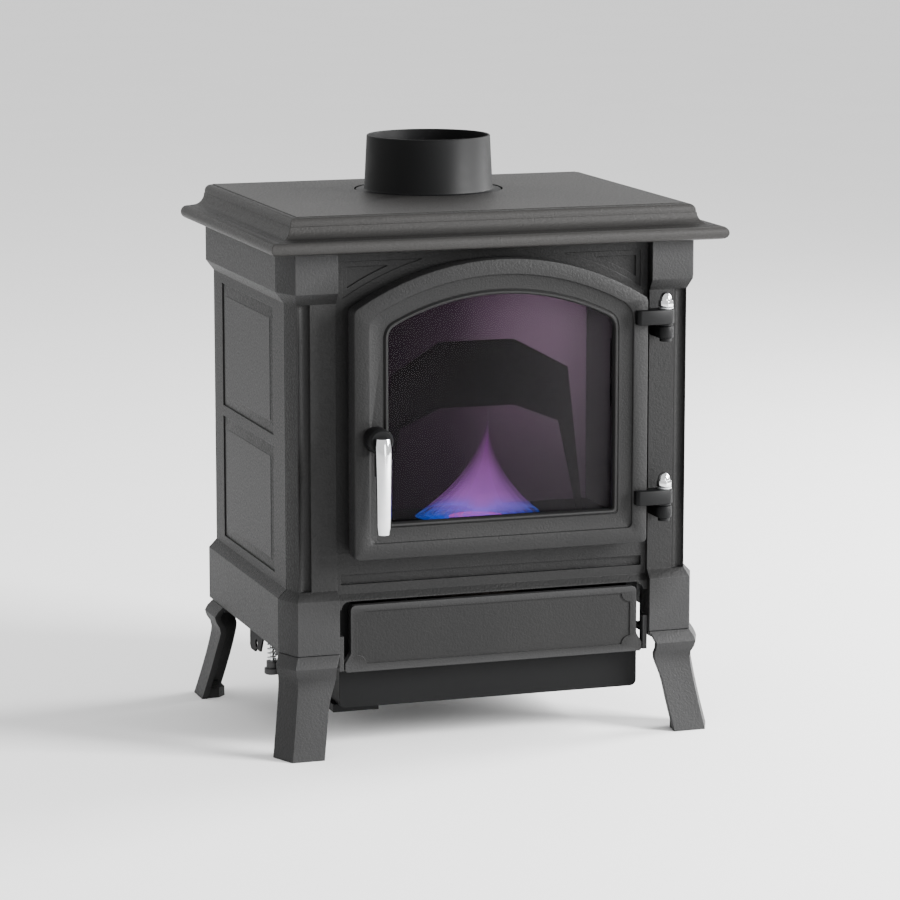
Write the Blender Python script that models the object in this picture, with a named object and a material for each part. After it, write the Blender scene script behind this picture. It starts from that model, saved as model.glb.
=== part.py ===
"""Free-standing cast-iron stove with an oil burner: casing, arched glass door, drop-down
control cover, four cabriole legs, burner and fuel gear.  Metres, +Z up, front faces -Y."""

import math

import bmesh
import bpy
from mathutils import Matrix, Vector

for old in list(bpy.data.objects):
    bpy.data.objects.remove(old, do_unlink=True)

# ---------------------------------------------------------------- sizes
GAP = 0.0003                    # clearance between a piece and what it rests on or passes through
SEAM = 0.0014                   # open joint between the front and side castings

# top plate
TOP_Z = 0.5326                  # height of the cooking surface
TOP_HALF_X = 0.200              # half width of the flat surface inside the moulding
TOP_FRONT_Y = -0.1255            # front edge of that flat surface
TOP_BACK_Y = 0.1909             # plain back edge
MOULD_OUT = 0.035              # how far the nose stands out past the flat surface
MOULD_DROP = 0.0345              # height of the moulded rim
NOSE_R = 0.0065                 # radius of the rounded nose
PLATE_T = 0.010                 # thickness of the top plate between its rims

# body castings
BODY_HALF_X = 0.217             # half width over capitals and plinth
POST_FRONT_Y = -0.1375           # front of capitals and plinth
SHAFT_IN = 0.0083                # how far the shafts stand behind the capitals
POST_INNER_X = 0.1625           # inner face of the corner posts
CHAMFER_X = 0.0115              # corner chamfer, measured across
SHAFT_ARRIS_IN = 0.0034         # the shaft's arris, in from the capital's
CHAMFER_Y = 0.027               # corner chamfer, measured front to back
PLATE_FRONT_Y = -0.1245          # face of the recessed front plate
FRONT_T = 0.008                 # thickness of the front plate
CAPITAL_Z = 0.458              # underside of the capitals
CAPITAL_SLOPE = 0.011          # height of the slope under the capitals
PLINTH_Z = 0.155                # top of the plinth's upright face
PLINTH_SLOPE = 0.0085           # height of the slope above it
PLINTH_BOTTOM_Z = 0.1014        # underside of the casing
SIDE_IN = 0.0083                # how far the side fields stand behind the bands
WALL_T = 0.008                  # thickness of the side and back castings
SIDE_BACK_Y = 0.159            # back edge of the side castings
FLUTE_W = 0.0125                # width of the flute on each post
FLUTE_DEEP = 0.0044             # depth of the flute

# side fields
FIELD_FRONT_Y = -0.0665
FIELD_BACK_Y = 0.1255
FIELD_BAND = 0.012              # width of the sloped band round each field
FIELD_DEEP = 0.0016
UPPER_FIELD_Z = (0.3106, 0.4375)
LOWER_FIELD_Z = (0.1728, 0.2994)

# door
DOOR_HALF_X = 0.152
DOOR_BOTTOM_Z = 0.197
ARCH_RISE = 0.0455               # height of the arch above its shoulders
ARCH_SHOULDER_Z = 0.4425
DOOR_FRONT_Y = -0.155           # face of the outer band
DOOR_T = 0.0195                  # door thickness at the outer band
DOOR_STEP = 0.0028              # how far the inner field lies behind the border
BAND_W = 0.016                 # width of the border
FRAME_W = 0.0145                # width of the sunk inner field
BEAD_W = 0.0047                 # width of the bead round the window
REBATE_W = 0.0075               # how far the glass runs behind the frame
GLASS_T = 0.004
GASKET_T = 0.0014
ROPE_AT = 0.0045                # rope channel, in from the door's edge
ROPE_W = 0.0080
ROPE_DEEP = 0.0055
MOUTH_IN = 0.0128                # how far the door laps over the fire opening
RIM_H = 0.003                   # height of the sealing rim round the fire opening
RIM_W = 0.0098

# hinges
HINGE_X = 0.1705
HINGE_Y = -0.1535
HINGE_Z = (0.2430, 0.4240)      # middle height of each arm
ARM_H = 0.0145
ARM_T = 0.0092
LUG_H = 0.012
LUG_GAP = 0.0026                # washer space between lug and arm
LUG_W = 0.0160
PIN_R = 0.0040
NUT_AF = 0.013                  # across flats
NUT_HEX_H = 0.0065
WASHER_T = 0.0013

# handle and latch
HANDLE_IN = 0.021               # spindle, in from the door's edge
HANDLE_Z = 0.317
HUB_R = 0.0128
HUB_LEN = 0.0200
GRIP_LEN = 0.094
GRIP_TOP_W = 0.017
GRIP_END_W = 0.0140
GRIP_T = 0.0123
SPINDLE_R = 0.0045
CAM_T = 0.005
CAM_REACH = 0.0195
CAM_GAP = 0.0012                # running gap between cam and front plate

# control cover
OPENING_TOP_Z = 0.1515
FLAP_HALF_X = 0.150
FLAP_EAR = 0.006
FLAP_TOP_Z = 0.148
FLAP_BOTTOM_Z = 0.081
FLAP_FRONT_Y = -0.1330
FLAP_T = 0.008
FLAP_AXIS_BACK = 0.0034          # hinge line behind the cover's face
FLAP_AXIS_UP = 0.0065           # hinge line above the cover's bottom edge
FLAP_PIN_R = 0.0018
FLAP_FIELD = 0.0068             # margin round the sunk field
FLAP_NOTCH = 0.0090

# legs
LEG_WALL = 0.006
LEG_FRONT_W = 0.0545            # width of a leg's front wall at the top
LEG_FOOT_W = 0.0445             # and at the foot
LEG_SIDE_FLARE = 0.0115         # how far the narrow side runs out at the toe
LEG_FACE_FLARE = 0.0180         # and the wide face
REAR_LEG_Y = SIDE_BACK_Y             # back face of the rear legs
LEG_SIDE_W = 0.029         # width of the narrow side, chamfer included
LEG_FLANGE_T = 0.006
PAD_H = 0.010
BOLT_R = 0.004
BOLT_HEAD_R = 0.0075
BOLT_HEAD_H = 0.0053

# flue and crown
FLUE_LEDGE = 0.006              # depth of the ledge that carries the collar
FLUE_Y = 0.082
FLUE_RISE = 0.0553              # height of the spigot's rim above the cooking surface
FLUE_R = 0.0635                 # 127 mm across the top of the spigot
FLUE_BASE_R = 0.0661
FLUE_WALL = 0.0022
FLUE_FLANGE_R = 0.0755
FLUE_HOLE_R = 0.0766
FLUE_FLANGE_DOWN = 0.0005       # flange top below the cooking surface

# firebox floor, burner and tray
FLOOR_Z = 0.184                 # top of the firebox floor
FLOOR_T = 0.008
BURNER_X = 0.022
BURNER_Y = -0.0105
POT_R = 0.0595
POT_WALL = 0.002
POT_BOTTOM_Z = 0.085
POT_FLANGE_R = 0.072
RING_H = 0.0160
CUP_R = 0.0345                  # catalyser cup standing in the pot
TRAY_HALF_X = 0.157
TRAY_FRONT_Y = -0.1155
TRAY_BACK_Y = 0.120
TRAY_BOTTOM_Z = 0.041
TRAY_LIP_Z = 0.098
SHEET = 0.0015
BAFFLE_TOP_Z = 0.3845
BAFFLE_H = 0.068
BAFFLE_HALF_X = 0.0402
BAFFLE_WING = 0.054
BAFFLE_Y = -0.0000

# fuel gear
VALVE_X = (-0.148, -0.066)
VALVE_Y = (-0.100, -0.028)
VALVE_Z = (0.064, 0.134)
DIAL_R = 0.016
DIAL_T = 0.012
DIAL_Z = 0.113
SHUT_X = -0.188
SHUT_Y = 0.0205
SHUT_Z = 0.0870                  # underside of the shut-off body
STEM_R = 0.0022
KNOB_R = 0.008
KNOB_H = 0.0135
KNOB_BOTTOM_Z = 0.0480

# ---------------------------------------------------------------- follow from the above
FLUE_TOP_Z = TOP_Z + FLUE_RISE
HANDLE_X = -(DOOR_HALF_X - HANDLE_IN)
BODY_TOP_Z = TOP_Z - MOULD_DROP - GAP
PLATE_BACK_Y = PLATE_FRONT_Y + FRONT_T
CHAMFER_EDGE_X = BODY_HALF_X - CHAMFER_X
CHAMFER_BACK_Y = POST_FRONT_Y + CHAMFER_Y
POST_BACK_Y = CHAMFER_BACK_Y + 0.001
SHAFT_ARRIS_X = CHAMFER_EDGE_X - SHAFT_ARRIS_IN
SHAFT_FRONT_Y = POST_FRONT_Y + SHAFT_IN
SIDE_FIELD_X = BODY_HALF_X - SIDE_IN
SIDE_INNER_X = SIDE_FIELD_X - WALL_T
ARCH_R = (DOOR_HALF_X ** 2 + ARCH_RISE ** 2) / (2 * ARCH_RISE)
ARCH_C_Z = ARCH_SHOULDER_Z + ARCH_RISE - ARCH_R
DOOR_BACK_Y = DOOR_FRONT_Y + DOOR_T
GLASS_IN = BAND_W + FRAME_W + BEAD_W
GLASS_FRONT_Y = DOOR_FRONT_Y + 0.0115
BACK_Y = SIDE_BACK_Y - WALL_T
SHIELD_Y = SIDE_BACK_Y + 0.0155


# ---------------------------------------------------------------- tools
def material(name, colour, roughness, metallic):
    made = bpy.data.materials.new(name)
    made.use_nodes = True
    shader = made.node_tree.nodes["Principled BSDF"]
    shader.inputs["Base Color"].default_value = (*colour, 1.0)
    shader.inputs["Roughness"].default_value = roughness
    shader.inputs["Metallic"].default_value = metallic
    return made


CAST = dict(colour=(0.045, 0.045, 0.046), roughness=0.72, metallic=0.35)
SMOOTH_STEEL = dict(colour=(0.030, 0.030, 0.032), roughness=0.50, metallic=0.45)
BRIGHT = dict(colour=(0.80, 0.80, 0.82), roughness=0.12, metallic=1.0)
ZINC = dict(colour=(0.55, 0.56, 0.57), roughness=0.35, metallic=1.0)
ROPE = dict(colour=(0.10, 0.10, 0.10), roughness=0.95, metallic=0.0)
GLAZING = dict(colour=(0.05, 0.045, 0.05), roughness=0.05, metallic=0.0)
BLACK_PLASTIC = dict(colour=(0.02, 0.02, 0.02), roughness=0.45, metallic=0.0)
BRASS = dict(colour=(0.62, 0.46, 0.20), roughness=0.30, metallic=1.0)
STAINLESS = dict(colour=(0.42, 0.40, 0.38), roughness=0.45, metallic=1.0)


def place(name, shape, look, parent=None, smooth=True):
    """Make the object from a bmesh held in world coordinates, with its own material."""
    bmesh.ops.recalc_face_normals(shape, faces=shape.faces)
    mesh = bpy.data.meshes.new(name)
    shape.to_mesh(mesh)
    shape.free()
    made = bpy.data.objects.new(name, mesh)
    bpy.context.scene.collection.objects.link(made)
    made.data.materials.append(material(name + "_finish", **look))
    if smooth:
        mesh.shade_smooth()
        mesh.set_sharp_from_angle(angle=math.radians(32))
    if parent is not None:
        made.data.transform(Matrix.Translation(-parent.location))
        made.parent = parent
    return made


def pivot(name, at, parent=None):
    made = bpy.data.objects.new(name, None)
    bpy.context.scene.collection.objects.link(made)
    made.location = at
    if parent is not None:
        made.parent = parent
        made.location = Vector(at) - parent.location
    return made


def rings(levels, closed=False):
    """Skin a list of equal-length point rings; closed joins the last ring to the first."""
    shape = bmesh.new()
    made = [[shape.verts.new(p) for p in level] for level in levels]
    count = len(levels[0])
    pairs = list(zip(made, made[1:]))
    if closed:
        pairs.append((made[-1], made[0]))
    for low, high in pairs:
        for i in range(count):
            j = (i + 1) % count
            shape.faces.new((low[i], low[j], high[j], high[i]))
    if not closed:
        shape.faces.new(list(reversed(made[0])))
        shape.faces.new(made[-1])
    return shape


def prism(outline, axis, low, high):
    """Extrude a 2-D outline along one axis. Outline pairs are the other two axes in order."""
    def at(pair, height):
        point = list(pair)
        point.insert("xyz".index(axis), height)
        return point
    return rings([[at(p, low) for p in outline], [at(p, high) for p in outline]])


def block(x, y, z):
    return prism([(x[0], y[0]), (x[1], y[0]), (x[1], y[1]), (x[0], y[1])], "z", z[0], z[1])


def turned(profile, centre, axis="z", steps=32, loop=False):
    """Spin (radius, height) pairs round an axis through centre; loop makes a ring with a bore."""
    levels = []
    for radius, height in profile:
        level = []
        for i in range(steps):
            angle = 2 * math.pi * i / steps
            across = radius * math.cos(angle)
            along = radius * math.sin(angle)
            if axis == "z":
                level.append((centre[0] + across, centre[1] + along, height))
            elif axis == "y":
                level.append((centre[0] + across, height, centre[1] + along))
            else:
                level.append((height, centre[0] + across, centre[1] + along))
        levels.append(level)
    return rings(levels, closed=loop)


def hexagon(centre, across_flats, turn=0.0):
    radius = across_flats / math.sqrt(3)
    return [(centre[0] + radius * math.cos(turn + math.pi * i / 3),
             centre[1] + radius * math.sin(turn + math.pi * i / 3)) for i in range(6)]


def helper(name, shape, parent=None):
    """A cutter or an addition that only a Boolean uses."""
    made = place(name, shape, CAST, parent, smooth=False)
    made.hide_render = True
    made.display_type = "WIRE"
    return made


def combine(target, other, operation):
    step = target.modifiers.new(operation.lower() + "_" + other.name, "BOOLEAN")
    step.operation = operation
    step.solver = "EXACT"
    step.object = other
    return step


def soften(target, width, segments=2, angle=40):
    step = target.modifiers.new("soft_edges", "BEVEL")
    step.width = width
    step.segments = segments
    step.limit_method = "ANGLE"
    step.angle_limit = math.radians(angle)
    step.use_clamp_overlap = True
    return step


def arc_points(centre, radius, start, end, count):
    return [(centre[0] + radius * math.cos(math.radians(start + (end - start) * i / count)),
             centre[1] + radius * math.sin(math.radians(start + (end - start) * i / count)))
            for i in range(count + 1)]


def arch(inset, shoulder_r, bottom_r, arc_steps=18, fillet_steps=4):
    """The door's outline moved in by inset, as (x, z) pairs, anticlockwise from bottom left."""
    half = DOOR_HALF_X - inset
    low = DOOR_BOTTOM_Z + inset
    big = ARCH_R - inset
    fillet_z = ARCH_C_Z + math.sqrt((big - shoulder_r) ** 2 - (half - shoulder_r) ** 2)
    meet = math.degrees(math.atan2(fillet_z - ARCH_C_Z, half - shoulder_r))
    points = arc_points((-half + bottom_r, low + bottom_r), bottom_r, 180, 270, fillet_steps)
    points += arc_points((half - bottom_r, low + bottom_r), bottom_r, 270, 360, fillet_steps)
    points += arc_points((half - shoulder_r, fillet_z), shoulder_r, 0, meet, fillet_steps)
    points += arc_points((0, ARCH_C_Z), big, meet, 180 - meet, arc_steps)[1:-1]
    points += arc_points((-half + shoulder_r, fillet_z), shoulder_r, 180 - meet, 180, fillet_steps)
    return points


def arch_ring(inset, depth, shoulder_r=0.007, bottom_r=0.003):
    return [(x, depth, z) for x, z in arch(inset, shoulder_r, bottom_r)]


# ---------------------------------------------------------------- top plate
def mould_profile():
    """(outward, down) pairs from the flat surface round the nose to its underside."""
    pairs = [(0.0, 0.0), (0.0007, -0.0012)]
    pairs += arc_points((0.0028, -0.0068), 0.0063, 90, 2, 5)
    pairs += [(0.0092, -0.0086)]
    pairs += arc_points((0.0218, -0.0088), 0.0120, 180, 268, 6)
    pairs += [(0.0240, -0.0210)]
    pairs += arc_points((MOULD_OUT - NOSE_R, NOSE_R - MOULD_DROP + 0.0002), NOSE_R, 112, -86, 9)
    pairs += [(MOULD_OUT - NOSE_R - 0.0010, -MOULD_DROP)]
    return pairs


def top_level(out, down):
    x = TOP_HALF_X + out
    y = TOP_FRONT_Y - out
    z = TOP_Z + down
    return [(-x, TOP_BACK_Y, z), (-x, y, z), (x, y, z), (x, TOP_BACK_Y, z)]


levels = [top_level(out, down) for out, down in mould_profile()]
top_plate = place("top_plate", rings(levels), CAST)
RECESS_X = BODY_HALF_X - 0.0095
cut = helper("top_recess", block((-RECESS_X, RECESS_X), (PLATE_FRONT_Y + 0.004, SIDE_BACK_Y - 0.004),
                                 (TOP_Z - MOULD_DROP - 0.01, TOP_Z - PLATE_T)))
combine(top_plate, cut, "DIFFERENCE")
cut = helper("flue_cut", turned([(FLUE_HOLE_R, TOP_Z - FLUE_LEDGE), (FLUE_HOLE_R, TOP_Z + 0.01)],
                                (0, FLUE_Y), steps=48))
combine(top_plate, cut, "DIFFERENCE")
cut = helper("flue_way", turned([(FLUE_R - FLUE_WALL, TOP_Z - 0.03), (FLUE_R - FLUE_WALL, TOP_Z - FLUE_LEDGE + 0.001)],
                                (0, FLUE_Y), steps=48))
combine(top_plate, cut, "DIFFERENCE")

# ---------------------------------------------------------------- flue collar
COLLAR_Z = TOP_Z - FLUE_LEDGE + GAP
FLANGE_Z = TOP_Z - FLUE_FLANGE_DOWN
collar_profile = [(FLUE_R - FLUE_WALL, COLLAR_Z), (FLUE_FLANGE_R, COLLAR_Z),
                  (FLUE_FLANGE_R, FLANGE_Z - 0.0010), (FLUE_FLANGE_R - 0.0010, FLANGE_Z)]
collar_profile += [(FLUE_BASE_R + 0.0022, FLANGE_Z), (FLUE_BASE_R + 0.0006, FLANGE_Z + 0.0008),
                   (FLUE_BASE_R, FLANGE_Z + 0.0026)]
collar_profile += [(FLUE_R, FLUE_TOP_Z - 0.0006), (FLUE_R - 0.0006, FLUE_TOP_Z),
                   (FLUE_R - FLUE_WALL + 0.0006, FLUE_TOP_Z), (FLUE_R - FLUE_WALL, FLUE_TOP_Z - 0.0006)]
place("flue_collar", turned(collar_profile, (0, FLUE_Y), steps=64, loop=True), SMOOTH_STEEL)


# ---------------------------------------------------------------- front casting
def post_level(side, z, outer_x, arris_x, front_y):
    points = [(outer_x, POST_BACK_Y), (outer_x, CHAMFER_BACK_Y), (arris_x, front_y),
              (POST_INNER_X, front_y), (POST_INNER_X, POST_BACK_Y)]
    return [(side * x, y, z) for x, y in points]


def post(side):
    block_level = (BODY_HALF_X, CHAMFER_EDGE_X, POST_FRONT_Y)
    shaft_level = (SIDE_FIELD_X, SHAFT_ARRIS_X, SHAFT_FRONT_Y)
    return rings([
        post_level(side, PLINTH_BOTTOM_Z, *block_level),
        post_level(side, PLINTH_Z, *block_level),
        post_level(side, PLINTH_Z + PLINTH_SLOPE, *shaft_level),
        post_level(side, CAPITAL_Z - CAPITAL_SLOPE, *shaft_level),
        post_level(side, CAPITAL_Z, *block_level),
        post_level(side, BODY_TOP_Z, *block_level),
    ])


RAIL_FORWARD = 0.005            # the rail's foot stands this far forward of the plate
rail_foot = OPENING_TOP_Z - 0.008
rail_outline = [(PLATE_BACK_Y, rail_foot), (PLATE_FRONT_Y - RAIL_FORWARD, rail_foot),
                (PLATE_FRONT_Y - RAIL_FORWARD, OPENING_TOP_Z + 0.0010),
                (PLATE_FRONT_Y, OPENING_TOP_Z + 0.0070),
                (PLATE_FRONT_Y, BODY_TOP_Z), (PLATE_BACK_Y, BODY_TOP_Z)]
LAP = 0.004                     # how far the plate runs into the posts
front = place("front_frame", prism(rail_outline, "x", -POST_INNER_X - LAP, POST_INNER_X + LAP), CAST)
for side, word in ((-1, "left"), (1, "right")):
    combine(front, helper("post_" + word, post(side)), "UNION")

mouth_rim = rings([arch_ring(MOUTH_IN - RIM_W, PLATE_FRONT_Y + 0.002),
                   arch_ring(MOUTH_IN - RIM_W, PLATE_FRONT_Y - RIM_H),
                   arch_ring(MOUTH_IN, PLATE_FRONT_Y - RIM_H),
                   arch_ring(MOUTH_IN, PLATE_FRONT_Y + 0.002)], closed=True)
combine(front, helper("mouth_rim", mouth_rim), "UNION")
mouth = rings([arch_ring(MOUTH_IN, PLATE_FRONT_Y - 0.02), arch_ring(MOUTH_IN, PLATE_BACK_Y + 0.02)])
combine(front, helper("mouth_cut", mouth), "DIFFERENCE")
opening_r = 0.008
opening_half = POST_INNER_X - 0.004
opening = [(-opening_half, rail_foot - 0.01), (opening_half, rail_foot - 0.01)]
opening += arc_points((opening_half - opening_r, OPENING_TOP_Z - opening_r), opening_r, 0, 90, 5)
opening += arc_points((-opening_half + opening_r, OPENING_TOP_Z - opening_r), opening_r, 90, 180, 5)
combine(front, helper("flap_opening", prism(opening, "y", PLATE_FRONT_Y - 0.05, PLATE_BACK_Y + 0.01)), "DIFFERENCE")

for side, word in ((-1, "left"), (1, "right")):
    flute_r = (FLUTE_W ** 2 / 4 + FLUTE_DEEP ** 2) / (2 * FLUTE_DEEP)
    flute_x = side * (SHAFT_ARRIS_X - 0.0007 - FLUTE_W / 2)
    flute_y = SHAFT_FRONT_Y + FLUTE_DEEP - flute_r
    flute = turned([(flute_r, PLINTH_Z + PLINTH_SLOPE), (flute_r, CAPITAL_Z - CAPITAL_SLOPE)],
                   (flute_x, flute_y), steps=40)
    combine(front, helper("flute_" + word, flute), "DIFFERENCE")
    hollow_x = sorted((side * (POST_INNER_X + 0.007), side * (SHAFT_ARRIS_X - 0.0045)))
    hollow = block(hollow_x, (SHAFT_FRONT_Y + 0.0090, POST_BACK_Y + 0.01),
                   (PLINTH_BOTTOM_Z + 0.012, BODY_TOP_Z - 0.014))
    combine(front, helper("hollow_" + word, hollow), "DIFFERENCE")


def spandrel(side, outer_x, top_z, radius, depth):
    """Three-cornered sinking over the arch, its long side on a circle about the arch centre."""
    tip = math.degrees(math.asin((top_z - ARCH_C_Z) / radius))
    heel = math.degrees(math.acos(outer_x / radius))
    points = arc_points((0, ARCH_C_Z), radius, heel, tip, 8) + [(outer_x, top_z)]
    return prism([(side * x, z) for x, z in points], "y", PLATE_FRONT_Y - 0.01, PLATE_FRONT_Y + depth)


for side, word in ((-1, "left"), (1, "right")):
    wide = spandrel(side, 0.1545, 0.4870, ARCH_R + 0.0085, 0.0010)
    combine(front, helper("spandrel_" + word, wide), "DIFFERENCE")
    deep = spandrel(side, 0.1498, 0.4817, ARCH_R + 0.0145, 0.0028)
    combine(front, helper("spandrel_field_" + word, deep), "DIFFERENCE")
rail_groove = block((-0.1575, 0.1575), (PLATE_FRONT_Y - 0.02, PLATE_FRONT_Y + 0.0040), (0.1675, 0.1772))
combine(front, helper("rail_groove", rail_groove), "DIFFERENCE")
PIN_HOLE_Z = FLAP_BOTTOM_Z + FLAP_AXIS_UP
FLAP_AXIS_Y = FLAP_FRONT_Y + FLAP_AXIS_BACK
EYE_X = (FLAP_HALF_X + FLAP_EAR + 0.0012, POST_INNER_X - 0.0007)
for side, word in ((-1, "left"), (1, "right")):
    eye_end = POST_INNER_X + 0.001
    eye = block(sorted((side * EYE_X[0], side * EYE_X[1])), (FLAP_AXIS_Y - 0.0032, FLAP_AXIS_Y + 0.0060),
                (PIN_HOLE_Z - 0.0050, PLINTH_BOTTOM_Z + 0.016))
    combine(front, helper("eye_" + word, eye), "UNION")
    root = block(sorted((side * (EYE_X[0] + 0.0005), side * eye_end)), (FLAP_AXIS_Y - 0.0026, FLAP_AXIS_Y + 0.0055),
                 (PLINTH_BOTTOM_Z + 0.002, PLINTH_BOTTOM_Z + 0.0155))
    combine(front, helper("eye_root_" + word, root), "UNION")
    eye_bore = turned([(FLAP_PIN_R + GAP, side * (EYE_X[0] - 0.002)), (FLAP_PIN_R + GAP, side * (EYE_X[1] + 0.002))],
                      (FLAP_AXIS_Y, PIN_HOLE_Z), "x", 14)
    combine(front, helper("eye_bore_" + word, eye_bore), "DIFFERENCE")

# ---------------------------------------------------------------- side castings
LUG_T = 0.008                   # bolting lugs at the casing's foot
LEDGE_T = 0.006
BOLT_FACE = 0.030               # leg bolt, in from the wide face's end of the leg
BOLT_DEEP = 0.040               # and back from the wide face
FRONT_BOLT = (BODY_HALF_X - BOLT_FACE, POST_FRONT_Y + BOLT_DEEP)
REAR_BOLT = (BODY_HALF_X - BOLT_DEEP, SIDE_BACK_Y - BOLT_FACE)


def side_outline(side):
    slope_low = CAPITAL_Z - CAPITAL_SLOPE
    plinth_high = PLINTH_Z + PLINTH_SLOPE
    points = [(BODY_HALF_X, PLINTH_BOTTOM_Z), (BODY_HALF_X, PLINTH_Z), (SIDE_FIELD_X, plinth_high),
              (SIDE_FIELD_X, slope_low), (BODY_HALF_X, CAPITAL_Z), (BODY_HALF_X, BODY_TOP_Z),
              (SIDE_INNER_X, BODY_TOP_Z), (SIDE_INNER_X, PLINTH_BOTTOM_Z)]
    return [(side * x, z) for x, z in points]


def field_ring(side, z, inset, depth):
    x = side * (SIDE_FIELD_X - depth)
    return [(x, FIELD_FRONT_Y + inset, z[0] + inset), (x, FIELD_BACK_Y - inset, z[0] + inset),
            (x, FIELD_BACK_Y - inset, z[1] - inset), (x, FIELD_FRONT_Y + inset, z[1] - inset)]


for side, word in ((-1, "left"), (1, "right")):
    outline = [(x, z) for x, z in side_outline(side)]
    panel = place("side_panel_" + word, prism(outline, "y", POST_BACK_Y + SEAM, SIDE_BACK_Y), CAST)
    for (bolt_x, at), end in ((FRONT_BOLT, "front"), (REAR_BOLT, "back")):
        lug_x = sorted((side * (bolt_x - 0.012), side * (SIDE_INNER_X + 0.002)))
        lug = block(lug_x, (at - 0.0115, at + 0.0115), (PLINTH_BOTTOM_Z, PLINTH_BOTTOM_Z + LUG_T))
        combine(panel, helper("lug_%s_%s" % (word, end), lug), "UNION")
        hole = turned([(BOLT_R + GAP, PLINTH_BOTTOM_Z - 0.01), (BOLT_R + GAP, PLINTH_BOTTOM_Z + 0.02)],
                      (side * bolt_x, at), steps=16)
        combine(panel, helper("lug_hole_%s_%s" % (word, end), hole), "DIFFERENCE")
    ledge_x = sorted((side * (SIDE_INNER_X - 0.008), side * (SIDE_INNER_X + 0.002)))
    ledge_top = FLOOR_Z - FLOOR_T - GAP
    ledge = block(ledge_x, (POST_BACK_Y + 0.012, BACK_Y - 0.012), (ledge_top - LEDGE_T, ledge_top))
    combine(panel, helper("ledge_" + word, ledge), "UNION")
    for z, level in ((UPPER_FIELD_Z, "upper"), (LOWER_FIELD_Z, "lower")):
        groove = rings([field_ring(side, z, 0, -0.004), field_ring(side, z, 0, FIELD_DEEP),
                        field_ring(side, z, FIELD_BAND, 0.0002),
                        field_ring(side, z, FIELD_BAND, -0.004)], closed=True)
        combine(panel, helper("field_%s_%s" % (word, level), groove), "DIFFERENCE")

# ---------------------------------------------------------------- back, floor and heat shield
back = place("back_panel", block((-SIDE_INNER_X + GAP, SIDE_INNER_X - GAP), (BACK_Y, BACK_Y + WALL_T),
                                 (PLINTH_BOTTOM_Z + LUG_T + GAP, BODY_TOP_Z)), CAST)
back_sink = block((-0.150, 0.150), (BACK_Y + WALL_T - 0.002, BACK_Y + WALL_T + 0.01), (0.215, 0.445))
combine(back, helper("back_sink", back_sink), "DIFFERENCE")
soften(back, 0.0012, 1)

floor = place("floor_plate", block((-SIDE_INNER_X + GAP, SIDE_INNER_X - GAP), (POST_BACK_Y + GAP, BACK_Y - GAP),
                                   (FLOOR_Z - FLOOR_T, FLOOR_Z)), CAST)
hole = turned([(POT_R + GAP, FLOOR_Z - 0.02), (POT_R + GAP, FLOOR_Z + 0.02)], (BURNER_X, BURNER_Y), steps=40)
combine(floor, helper("burner_hole", hole), "DIFFERENCE")

SHIELD_HALF_X = 0.188
shield_back = SIDE_BACK_Y + GAP
shield_outline = [(-SHIELD_HALF_X, shield_back), (-SHIELD_HALF_X + 0.014, shield_back),
                  (-SHIELD_HALF_X + 0.014, shield_back + SHEET), (-SHIELD_HALF_X + SHEET, shield_back + SHEET),
                  (-SHIELD_HALF_X + SHEET, SHIELD_Y), (SHIELD_HALF_X - SHEET, SHIELD_Y),
                  (SHIELD_HALF_X - SHEET, shield_back + SHEET), (SHIELD_HALF_X - 0.014, shield_back + SHEET),
                  (SHIELD_HALF_X - 0.014, shield_back), (SHIELD_HALF_X, shield_back),
                  (SHIELD_HALF_X, SHIELD_Y + SHEET), (-SHIELD_HALF_X, SHIELD_Y + SHEET)]
shield = place("rear_heat_shield", prism(shield_outline, "z", 0.130, 0.472), SMOOTH_STEEL)
for i in range(6):
    for side in (-1, 1):
        slot = block(sorted((side * 0.020, side * 0.150)), (SHIELD_Y - 0.005, SHIELD_Y + 0.01),
                     (0.330 + 0.020 * i, 0.336 + 0.020 * i))
        combine(shield, helper("louvre_%d_%d" % (i, side + 1), slot), "DIFFERENCE")


# ---------------------------------------------------------------- legs
def leg_shift(share):
    """How far the leg stands out of line, from 0 at the top (share 0) to 1 at the toe (share 1)."""
    bulge = 0.40 * math.exp(-((share - 0.12) / 0.095) ** 2)
    flare = max(0.0, (share - 0.22) / 0.78) ** 1.25
    return bulge * min(1.0, share / 0.05) + flare


def leg_width(share):
    """The wide face narrows over the upper half and keeps its width below."""
    return LEG_FOOT_W + (LEG_FRONT_W - LEG_FOOT_W) * (1 + math.cos(math.pi * min(1.0, share / 0.55))) / 2


def leg_point(sign_x, rear, along, deep):
    """along: in from the leg's corner over its wide face; deep: back from that face."""
    if rear:
        return (sign_x * (BODY_HALF_X - deep), SIDE_BACK_Y - along)
    return (sign_x * (BODY_HALF_X - along), POST_FRONT_Y + deep)


def leg_level(sign_x, rear, z, width, share):
    wall = LEG_WALL
    side_out = leg_shift(share) * LEG_SIDE_FLARE
    face_out = leg_shift(share) * LEG_FACE_FLARE
    slant = wall * 0.55
    points = [(0, LEG_SIDE_W), (0, CHAMFER_Y), (CHAMFER_X, 0), (width, 0), (width, wall),
              (CHAMFER_X + slant, wall), (wall, CHAMFER_Y - slant), (wall, LEG_SIDE_W)]
    return [(*leg_point(sign_x, rear, a - side_out, d - face_out), z) for a, d in points]


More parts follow.
